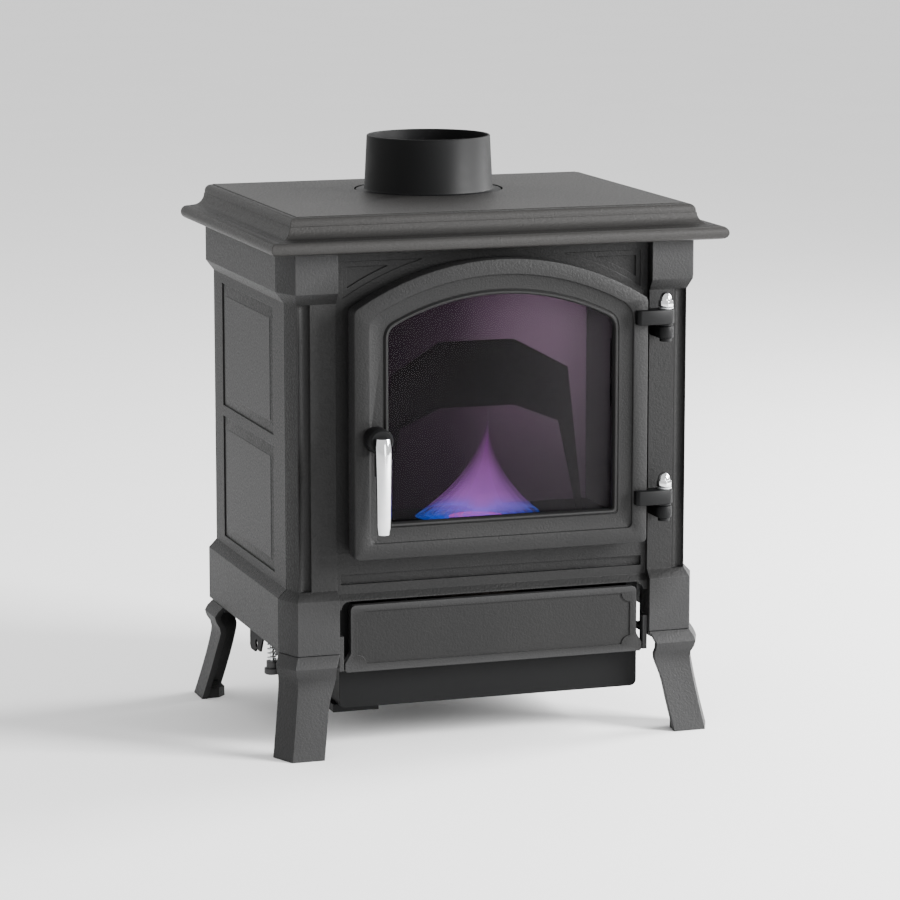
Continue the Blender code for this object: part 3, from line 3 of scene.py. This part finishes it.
import bmesh
import bpy
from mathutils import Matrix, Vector


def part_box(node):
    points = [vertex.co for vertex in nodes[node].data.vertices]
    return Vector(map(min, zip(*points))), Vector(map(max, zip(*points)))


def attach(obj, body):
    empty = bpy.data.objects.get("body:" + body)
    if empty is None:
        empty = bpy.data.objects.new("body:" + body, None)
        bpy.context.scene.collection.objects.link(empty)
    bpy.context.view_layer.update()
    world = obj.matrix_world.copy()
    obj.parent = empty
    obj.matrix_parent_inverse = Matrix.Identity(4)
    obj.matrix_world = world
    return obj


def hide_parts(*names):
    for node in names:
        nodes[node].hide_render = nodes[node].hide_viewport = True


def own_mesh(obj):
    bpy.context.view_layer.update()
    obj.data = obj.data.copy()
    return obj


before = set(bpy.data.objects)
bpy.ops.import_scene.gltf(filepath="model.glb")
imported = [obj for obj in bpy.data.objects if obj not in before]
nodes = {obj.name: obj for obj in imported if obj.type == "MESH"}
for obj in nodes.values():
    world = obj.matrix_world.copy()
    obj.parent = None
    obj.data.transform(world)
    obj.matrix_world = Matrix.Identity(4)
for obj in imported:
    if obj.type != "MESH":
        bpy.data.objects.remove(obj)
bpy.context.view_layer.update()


# tools
def newTree(name):
    material = bpy.data.materials.new(name)
    material.use_nodes = True
    tree = material.node_tree
    return material, tree, tree.nodes["Principled BSDF"]


def addNode(tree, kind, **settings):
    node = tree.nodes.new(kind)
    for key, value in settings.items():
        if key in node.inputs:
            node.inputs[key].default_value = value
        else:
            setattr(node, key, value)
    return node


def setInputs(node, values):
    for key, value in values.items():
        node.inputs[key].default_value = value


def noise(tree, coords, scale, detail=3.0, roughness=0.5):
    node = addNode(tree, "ShaderNodeTexNoise")
    setInputs(node, {"Scale": scale, "Detail": detail, "Roughness": roughness})
    tree.links.new(coords, node.inputs["Vector"])
    return node.outputs["Fac"]


def ramp(tree, value, stops):
    node = addNode(tree, "ShaderNodeValToRGB")
    line = node.color_ramp.elements
    while len(line) < len(stops):
        line.new(0.5)
    for element, (at, colour) in zip(line, stops):
        element.position = at
        element.color = (*colour, 1.0) if len(colour) == 3 else colour
    tree.links.new(value, node.inputs["Fac"])
    return node.outputs["Color"]


def mapRange(tree, value, low, high, toLow, toHigh):
    node = addNode(tree, "ShaderNodeMapRange")
    setInputs(node, {"From Min": low, "From Max": high, "To Min": toLow, "To Max": toHigh})
    tree.links.new(value, node.inputs["Value"])
    return node.outputs["Result"]


def mixColour(tree, factor, first, second, mode="MIX"):
    node = addNode(tree, "ShaderNodeMix", data_type="RGBA", blend_type=mode)
    sockets = {"factor": node.inputs[0], "first": node.inputs[6], "second": node.inputs[7]}
    for key, value in (("factor", factor), ("first", first), ("second", second)):
        if hasattr(value, "is_output"):
            tree.links.new(value, sockets[key])
        elif key == "factor":
            sockets[key].default_value = value
        else:
            sockets[key].default_value = (*value, 1.0)
    return node.outputs[2]


def pieceFrom(name, shape, material):
    mesh = bpy.data.meshes.new(name)
    shape.to_mesh(mesh)
    shape.free()
    mesh.shade_smooth()
    mesh.materials.append(material)
    made = bpy.data.objects.new(name, mesh)
    bpy.context.scene.collection.objects.link(made)
    return made


def skin(shape, rows):
    # closed bands of faces between each ring of points and the next
    count = len(rows[0])
    for low, high in zip(rows, rows[1:]):
        for k in range(count):
            n = (k + 1) % count
            shape.faces.new((low[k], low[n], high[n], high[k]))


def objectCoords(tree):
    return addNode(tree, "ShaderNodeTexCoord").outputs["Object"]


def bumped(tree, shader, layers, rounding=0.0):
    # each layer is (height, strength, distance in metres)
    last = None
    if rounding:
        rounded = addNode(tree, "ShaderNodeBevel", samples=6)
        rounded.inputs["Radius"].default_value = rounding
        last = rounded.outputs["Normal"]
    for height, strength, distance in layers:
        node = addNode(tree, "ShaderNodeBump")
        setInputs(node, {"Strength": strength, "Distance": distance})
        tree.links.new(height, node.inputs["Height"])
        if last is not None:
            tree.links.new(last, node.inputs["Normal"])
        last = node.outputs["Normal"]
    tree.links.new(last, shader.inputs["Normal"])


# materials
def castMaterial(name, dark, light, wear, grain, roughness):
    material, tree, shader = newTree(name)
    coords = objectCoords(tree)
    broad = noise(tree, coords, 9.0, 4.0, 0.55)
    fine = noise(tree, coords, grain, 3.0, 0.55)
    pits = noise(tree, coords, grain * 2.3, 2.0, 0.5)
    tone = ramp(tree, broad, [(0.30, dark), (0.72, light)])
    speckle = ramp(tree, pits, [(0.35, (0.78, 0.78, 0.78)), (0.62, (1.15, 1.15, 1.14))])
    tone = mixColour(tree, 0.55, tone, speckle, "MULTIPLY")
    pointiness = addNode(tree, "ShaderNodeNewGeometry").outputs["Pointiness"]
    edges = mapRange(tree, pointiness, 0.53, 0.62, 0.0, 0.55)
    tone = mixColour(tree, edges, tone, wear)
    tree.links.new(tone, shader.inputs["Base Color"])
    tree.links.new(mapRange(tree, fine, 0.3, 0.7, roughness[0], roughness[1]), shader.inputs["Roughness"])
    setInputs(shader, {"Metallic": 0.0, "Specular IOR Level": 0.20})
    bumped(tree, shader, [(fine, 0.55, 0.00075), (pits, 0.30, 0.00025), (broad, 0.12, 0.002)], 0.0009)
    return material


def smoothMaterial(name, colour, roughness, metallic=0.0, specular=0.45, coat=0.0):
    material, tree, shader = newTree(name)
    coords = objectCoords(tree)
    broad = noise(tree, coords, 14.0, 4.0, 0.6)
    fine = noise(tree, coords, 900.0, 2.0, 0.5)
    darker = tuple(c * 0.82 for c in colour)
    lighter = tuple(min(1.0, c * 1.16) for c in colour)
    tree.links.new(ramp(tree, broad, [(0.32, darker), (0.70, lighter)]), shader.inputs["Base Color"])
    tree.links.new(mapRange(tree, broad, 0.3, 0.7, roughness[0], roughness[1]), shader.inputs["Roughness"])
    setInputs(shader, {"Metallic": metallic, "Specular IOR Level": specular, "Coat Weight": coat})
    bumped(tree, shader, [(fine, 0.12, 0.00008), (broad, 0.05, 0.001)], 0.0005)
    return material


def chromeMaterial():
    material, tree, shader = newTree("chrome")
    coords = objectCoords(tree)
    smear = noise(tree, coords, 60.0, 5.0, 0.6)
    tree.links.new(ramp(tree, smear, [(0.3, (0.60, 0.61, 0.62)), (0.7, (0.72, 0.72, 0.73))]),
                   shader.inputs["Base Color"])
    tree.links.new(mapRange(tree, smear, 0.3, 0.7, 0.05, 0.13), shader.inputs["Roughness"])
    setInputs(shader, {"Metallic": 1.0})
    bumped(tree, shader, [(smear, 0.03, 0.0006)])
    return material


def ropeMaterial():
    material, tree, shader = newTree("sealRope")
    coords = objectCoords(tree)
    strands = addNode(tree, "ShaderNodeTexWave", wave_type="BANDS", bands_direction="DIAGONAL")
    setInputs(strands, {"Scale": 210.0, "Distortion": 1.5, "Detail": 2.0})
    tree.links.new(coords, strands.inputs["Vector"])
    fibre = noise(tree, coords, 1500.0, 2.0)
    tree.links.new(ramp(tree, strands.outputs["Fac"], [(0.1, (0.02, 0.02, 0.02)), (0.8, (0.10, 0.10, 0.10))]),
                   shader.inputs["Base Color"])
    setInputs(shader, {"Roughness": 0.95, "Sheen Weight": 0.15})
    bumped(tree, shader, [(strands.outputs["Fac"], 0.7, 0.0006), (fibre, 0.4, 0.0002)])
    return material


def glassMaterial():
    g = glassSettings
    material, tree, shader = newTree("stoveGlass")
    coords = objectCoords(tree)
    glassMottle = noise(tree, coords, 7.0, 5.0, 0.6)
    tint = ramp(tree, glassMottle, [(0.3, g["tintDark"]), (0.7, g["tintLight"])])
    tree.links.new(tint, shader.inputs["Base Color"])
    tree.links.new(mapRange(tree, glassMottle, 0.35, 0.75, 0.02, 0.05), shader.inputs["Roughness"])
    setInputs(shader, {"Transmission Weight": 1.0, "IOR": 1.12})
    bumped(tree, shader, [(glassMottle, 0.02, 0.001)])
    # painted reflection: a grey diffuse layer mixed over the glass, its share rising towards +X
    paintedReflectionTone = addNode(tree, "ShaderNodeBsdfDiffuse")
    dimmerReflectionTone = tuple(0.92 * c for c in g["paintedReflectionTone"])
    tree.links.new(ramp(tree, glassMottle, [(0.3, dimmerReflectionTone), (0.7, g["paintedReflectionTone"])]), paintedReflectionTone.inputs["Color"])
    split = addNode(tree, "ShaderNodeSeparateXYZ")
    tree.links.new(coords, split.inputs["Vector"])
    share = mapRange(tree, split.outputs["X"], g["paintedReflectionFrom"], g["paintedReflectionTo"], 0.0, g["paintedReflectionMost"])
    mix = addNode(tree, "ShaderNodeMixShader")
    tree.links.new(share, mix.inputs[0])
    tree.links.new(shader.outputs[0], mix.inputs[1])
    tree.links.new(paintedReflectionTone.outputs[0], mix.inputs[2])
    tree.links.new(mix.outputs[0], tree.nodes["Material Output"].inputs["Surface"])
    return material


def liningMaterial():
    # inner face of the rear wall: painted light and shade, black at -X grading to a pale purple grey at +X
    # where the inside looks lit from the right; its other faces are black
    g = liningSettings
    material, tree, shader = newTree("paintedLightLining")
    coords = objectCoords(tree)
    cloud = noise(tree, coords, 12.0, 4.0, 0.6)
    split = addNode(tree, "ShaderNodeSeparateXYZ")
    tree.links.new(coords, split.inputs["Vector"])
    across = mapRange(tree, split.outputs["X"], g["from"], g["to"], 0.0, 1.0)
    # painted shade at the -X end, painted light rising towards the +X end
    tone = ramp(tree, across, [(0.0, g["blackAndPaintedShade"]), (0.55, g["middle"]), (1.0, g["paintedLitEnd"])])
    mottle = ramp(tree, cloud, [(0.3, (0.90, 0.90, 0.90)), (0.7, (1.06, 1.06, 1.06))])
    lined = mixColour(tree, 0.6, tone, mottle, "MULTIPLY")
    outside = mapRange(tree, split.outputs["Y"], g["face"], g["face"] + 0.0005, 0.0, 1.0)
    tree.links.new(mixColour(tree, outside, lined, g["blackAndPaintedShade"]), shader.inputs["Base Color"])
    tree.links.new(mapRange(tree, cloud, 0.3, 0.7, 0.82, 0.94), shader.inputs["Roughness"])
    setInputs(shader, {"Specular IOR Level": 0.08})
    bumped(tree, shader, [(cloud, 0.10, 0.001)])
    return material


def flameMaterial():
    material, tree, shader = newTree("flame")
    coords = objectCoords(tree)
    split = addNode(tree, "ShaderNodeSeparateXYZ")
    tree.links.new(coords, split.inputs["Vector"])
    low, high = flameSettings["baseZ"], flameSettings["baseZ"] + flameSettings["height"]
    height = mapRange(tree, split.outputs["Z"], low, high, 0.0, 1.0)
    colour = ramp(tree, height, [(0.0, (0.01, 0.14, 1.0)), (0.05, (0.06, 0.14, 1.0)),
                                 (0.12, (0.50, 0.16, 0.72)), (0.55, (0.50, 0.14, 0.58)),
                                 (1.0, (0.35, 0.06, 0.42))])
    tree.links.new(colour, shader.inputs["Emission Color"])
    strength = ramp(tree, height, [(0.0, (1.0, 1.0, 1.0)), (0.06, (0.60, 0.60, 0.60)),
                                   (0.3, (0.50, 0.50, 0.50)), (0.7, (0.30, 0.30, 0.30)),
                                   (1.0, (0.0, 0.0, 0.0))])
    wisp = noise(tree, coords, 45.0, 2.0)
    strength = mixColour(tree, 0.35, strength, wisp, "MULTIPLY")
    brightness = mapRange(tree, strength, 0.0, 1.0, 0.0, flameSettings["glow"])
    tree.links.new(brightness, shader.inputs["Emission Strength"])
    tree.links.new(mapRange(tree, strength, 0.0, 1.0, 0.0, flameSettings["alpha"]), shader.inputs["Alpha"])
    setInputs(shader, {"Base Color": (0.0, 0.0, 0.0, 1.0), "Roughness": 1.0, "Specular IOR Level": 0.0})
    return material


# settings for the rear wall's painted light and shade, black at -X and lit at +X, and for the glass's painted
# reflection, a grey diffuse layer whose share grows towards +X
liningSettings = {"face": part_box("back_panel")[0].y + 0.002, "from": -0.10, "to": 0.17,
                  "blackAndPaintedShade": (0.002, 0.002, 0.002), "middle": (0.045, 0.030, 0.044),
                  "paintedLitEnd": (0.17, 0.13, 0.165)}
glassSettings = {"tintDark": (0.50, 0.46, 0.50), "tintLight": (0.58, 0.54, 0.58),
                 "paintedReflectionTone": (0.030, 0.028, 0.030),
                 "paintedReflectionFrom": -0.020, "paintedReflectionTo": 0.120, "paintedReflectionMost": 0.22}
flameSettings = {"x": 0.0255, "y": -0.0105, "baseZ": 0.2055, "height": 0.112, "radius": 0.064, "shells": 7,
                 "around": 48, "up": 26, "tip": 0.012, "ripple": 0.05, "waves": 7, "inner": 0.72,
                 "lean": 0.0085, "flare": 2.2, "glow": 4.2, "alpha": 0.20}

castIron = castMaterial("castIron", (0.0036, 0.0036, 0.0037), (0.0058, 0.0057, 0.0056),
                        (0.026, 0.026, 0.0265), 460.0, (0.46, 0.62))
topIron = castMaterial("topIron", (0.0032, 0.0030, 0.0028), (0.0056, 0.0052, 0.0048),
                       (0.026, 0.025, 0.024), 460.0, (0.44, 0.58))
blackSteel = smoothMaterial("blackSteel", (0.0022, 0.0023, 0.0025), (0.46, 0.60), 0.0, 0.12)
sootedSteel = smoothMaterial("sootedSteel", (0.003, 0.003, 0.0035), (0.70, 0.85), 0.0, 0.10)
zincSteel = smoothMaterial("zincSteel", (0.50, 0.51, 0.52), (0.28, 0.42), 1.0)
brassMetal = smoothMaterial("brass", (0.60, 0.43, 0.20), (0.26, 0.40), 1.0)
stainlessSteel = smoothMaterial("stainless", (0.20, 0.17, 0.15), (0.42, 0.58), 0.9)
blackPlastic = smoothMaterial("blackPlastic", (0.015, 0.015, 0.016), (0.36, 0.48), 0.0, 0.5, 0.05)
chrome = chromeMaterial()
rope = ropeMaterial()
lining = liningMaterial()
glass = glassMaterial()

edgeSettings = {"sharpAngle": 33, "weld": 0.00001}
nodeMaterials = {
    "top_plate": topIron, "flue_collar": blackSteel, "rear_heat_shield": blackSteel,
    "burner_tray": blackSteel, "valve_bracket": blackSteel, "handle_hub": blackSteel,
    "baffle": sootedSteel, "back_panel": lining, "floor_plate": sootedSteel, "door_glass": glass,
    "door_rope_seal": rope, "glass_gasket": rope, "control_dial": blackPlastic,
    "plunger_knob": blackPlastic, "burner_pot": stainlessSteel, "flame_ring": stainlessSteel,
    "catalyser_cup": stainlessSteel, "fuel_feed_pipe": brassMetal, "fuel_supply_pipe": brassMetal,
    "shutoff_valve": brassMetal, "handle_grip": chrome, "plunger_stem": chrome,
    "plunger_spring": zincSteel, "oil_control_valve": zincSteel,
}
zincStarts = ("leg_bolt", "clip_screw", "hinge_washer", "latch")
blackStarts = ("hinge_arm", "hinge_bracket", "hinge_pin", "hinge_spacer", "flap_pin", "glass_clip")
for name, obj in nodes.items():
    finish = nodeMaterials.get(name, castIron)
    if name.startswith(zincStarts):
        finish = zincSteel
    elif name.startswith("hinge_cap_nut"):
        finish = chrome
    elif name.startswith(blackStarts):
        finish = blackSteel
    obj.data.materials.clear()
    obj.data.materials.append(finish)
    if "custom_normal" in obj.data.attributes:
        obj.data.attributes.remove(obj.data.attributes["custom_normal"])
    obj.data.shade_smooth()
    weld = obj.modifiers.new("weld", "WELD")
    weld.merge_threshold = edgeSettings["weld"]
    split = obj.modifiers.new("sharpEdges", "EDGE_SPLIT")
    split.split_angle = math.radians(edgeSettings["sharpAngle"])
print("materials on", len(nodes), "nodes", flush=True)


# cut-off spring
def cutOffSpring():
    s = springSettings
    low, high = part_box("plunger_spring")
    centre = (low + high) / 2
    coil = (high.x - low.x) / 2 - s["wire"]
    bottom, top = low.z + s["wire"], high.z - s["wire"]
    turns, around = s["turns"], s["around"]
    steps = turns * s["stepsPerTurn"]
    pitch = (top - bottom) / (2 * math.pi * turns * coil)
    shape = bmesh.new()
    rows = []
    for i in range(steps + 1):
        share = i / steps
        angle = 2 * math.pi * turns * share
        out = Vector((math.cos(angle), math.sin(angle), 0))
        along = Vector((-math.sin(angle), math.cos(angle), pitch)).normalized()
        side = along.cross(out)
        middle = Vector((centre.x, centre.y, bottom + (top - bottom) * share)) + coil * out
        row = []
        for k in range(around):
            turn = 2 * math.pi * k / around
            row.append(shape.verts.new(middle + s["wire"] * (math.cos(turn) * out + math.sin(turn) * side)))
        rows.append(row)
    skin(shape, rows)
    shape.faces.new(rows[0])
    shape.faces.new(rows[-1])
    bmesh.ops.recalc_face_normals(shape, faces=shape.faces)
    made = pieceFrom("cutOffSpring", shape, zincSteel)
    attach(made, "casing")
    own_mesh(made)
    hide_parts("plunger_spring")


springSettings = {"wire": 0.0008, "turns": 5, "stepsPerTurn": 24, "around": 10,
                  "seatGap": 0.0003, "travel": 0.006}
cutOffSpring()
print("cut-off spring", flush=True)


# flame
def flameBody():
    s = flameSettings
    shape = bmesh.new()
    around, up = s["around"], s["up"]
    for shell in range(s["shells"]):
        share = 1.0 - shell / s["shells"]
        rows = []
        for i in range(up + 1):
            t = i / up
            radius = s["radius"] * share * max(s["tip"], (1 - t) ** s["flare"])
            z = s["baseZ"] + s["height"] * t * (s["inner"] + (1 - s["inner"]) * share)
            row = []
            for k in range(around):
                a = 2 * math.pi * k / around
                ripple = 1 + s["ripple"] * math.sin(a * s["waves"] + shell) * (1 - t)
                row.append(shape.verts.new((s["x"] + s["lean"] * t + radius * ripple * math.cos(a),
                                            s["y"] + radius * ripple * math.sin(a), z)))
            rows.append(row)
        skin(shape, rows)
    made = pieceFrom("flame", shape, flameMaterial())
    made.visible_shadow = False
    return made


def emberGlow():
    # a red glow in the middle of the flame ring
    s = emberSettings
    shape = bmesh.new()
    centre = shape.verts.new((s["x"], s["y"], s["z"] + s["dome"]))
    rim = []
    for k in range(s["around"]):
        turn = 2 * math.pi * k / s["around"]
        rim.append(shape.verts.new((s["x"] + s["radius"] * math.cos(turn),
                                    s["y"] + s["radius"] * math.sin(turn), s["z"])))
    for k in range(s["around"]):
        shape.faces.new((centre, rim[k], rim[(k + 1) % s["around"]]))
    material, tree, shader = newTree("ember")
    spots = noise(tree, objectCoords(tree), 260.0, 2.0)
    tree.links.new(ramp(tree, spots, [(0.35, (0.55, 0.004, 0.004)), (0.62, (1.0, 0.03, 0.02))]),
                   shader.inputs["Emission Color"])
    brightness = mapRange(tree, spots, 0.3, 0.7, 0.5 * s["glow"], s["glow"])
    tree.links.new(brightness, shader.inputs["Emission Strength"])
    setInputs(shader, {"Base Color": (0.02, 0.0, 0.0, 1.0), "Roughness": 0.9})
    return pieceFrom("emberGlow", shape, material)


emberSettings = {"x": 0.022, "y": -0.0105, "z": 0.2042, "dome": 0.0035, "radius": 0.029, "around": 40,
                 "glow": 1.6}
flame = flameBody()
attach(flame, "casing")
ember = emberGlow()
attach(ember, "casing")
print("flame", flush=True)

# stage, light, camera
stageSettings = {"floorHalf": 30.0, "floorGap": 0.0002, "floorTone": (0.93, 0.93, 0.93),
                 "worldTone": (1.0, 1.0, 1.0), "worldStrength": 1.25}


lightTarget = (0.0, 0.0, 0.32)
lightSettings = {
    "keySoftbox": {"at": (2.6, -1.9, 1.5), "size": (1.2, 1.6), "power": 430.0},
    "sideSoftbox": {"at": (2.6, 0.5, 1.4), "size": (0.8, 1.6), "power": 160.0},
    "frontSoftbox": {"at": (0.4, -3.2, 0.5), "size": (0.8, 0.8), "power": 14.0},
}
glowSettings = {"at": (0.13, 0.05, 0.36), "colour": (1.0, 0.84, 0.97), "power": 0.8, "softness": 0.02}


def studioFloor():
    half = stageSettings["floorHalf"]
    mesh = bpy.data.meshes.new("studioFloor")
    low = -stageSettings["floorGap"]
    corners = [(-half, -half, low), (half, -half, low), (half, half, low), (-half, half, low)]
    mesh.from_pydata(corners, [], [(0, 1, 2, 3)])
    made = bpy.data.objects.new("studioFloor", mesh)
    bpy.context.scene.collection.objects.link(made)
    material, tree, shader = newTree("paleFloor")
    cloud = noise(tree, objectCoords(tree), 3.0, 3.0)
    tone = stageSettings["floorTone"]
    duller = tuple(c * 0.985 for c in tone)
    tree.links.new(ramp(tree, cloud, [(0.3, duller), (0.7, tone)]), shader.inputs["Base Color"])
    setInputs(shader, {"Roughness": 0.9, "Specular IOR Level": 0.1})
    mesh.materials.append(material)


def aimed(at, target):
    return (Vector(target) - Vector(at)).to_track_quat("-Z", "Y").to_euler()


def areaLight(name, at, target, size, power):
    data = bpy.data.lights.new(name, "AREA")
    data.shape = "RECTANGLE"
    data.size, data.size_y = size
    data.energy = power
    made = bpy.data.objects.new(name, data)
    bpy.context.scene.collection.objects.link(made)
    made.location = at
    made.rotation_euler = aimed(at, target)


studioFloor()
world = bpy.data.worlds.new("studio")
world.use_nodes = True
background = world.node_tree.nodes["Background"]
background.inputs["Color"].default_value = (*stageSettings["worldTone"], 1.0)
background.inputs["Strength"].default_value = stageSettings["worldStrength"]
bpy.context.scene.world = world
for name, light in lightSettings.items():
    areaLight(name, light["at"], lightTarget, light["size"], light["power"])
inside = bpy.data.lights.new("flameGlow", "POINT")
inside.energy = glowSettings["power"]
inside.color = glowSettings["colour"]
inside.shadow_soft_size = glowSettings["softness"]
insideLamp = bpy.data.objects.new("flameGlow", inside)
bpy.context.scene.collection.objects.link(insideLamp)
insideLamp.location = glowSettings["at"]
insideLamp.visible_camera = False
insideLamp.visible_transmission = False
insideLamp.visible_glossy = False

cameraSettings = {"at": (-1.1936, -3.6054, 0.9490), "target": (-0.05324, -0.15041, 0.30104), "lens": 151.18}
cameraData = bpy.data.cameras.new("camera")
cameraData.lens = cameraSettings["lens"]
cameraData.sensor_width = 36.0
camera = bpy.data.objects.new("camera", cameraData)
bpy.context.scene.collection.objects.link(camera)
camera.location = cameraSettings["at"]
camera.rotation_euler = aimed(cameraSettings["at"], cameraSettings["target"])
bpy.context.scene.camera = camera
print("stage", flush=True)
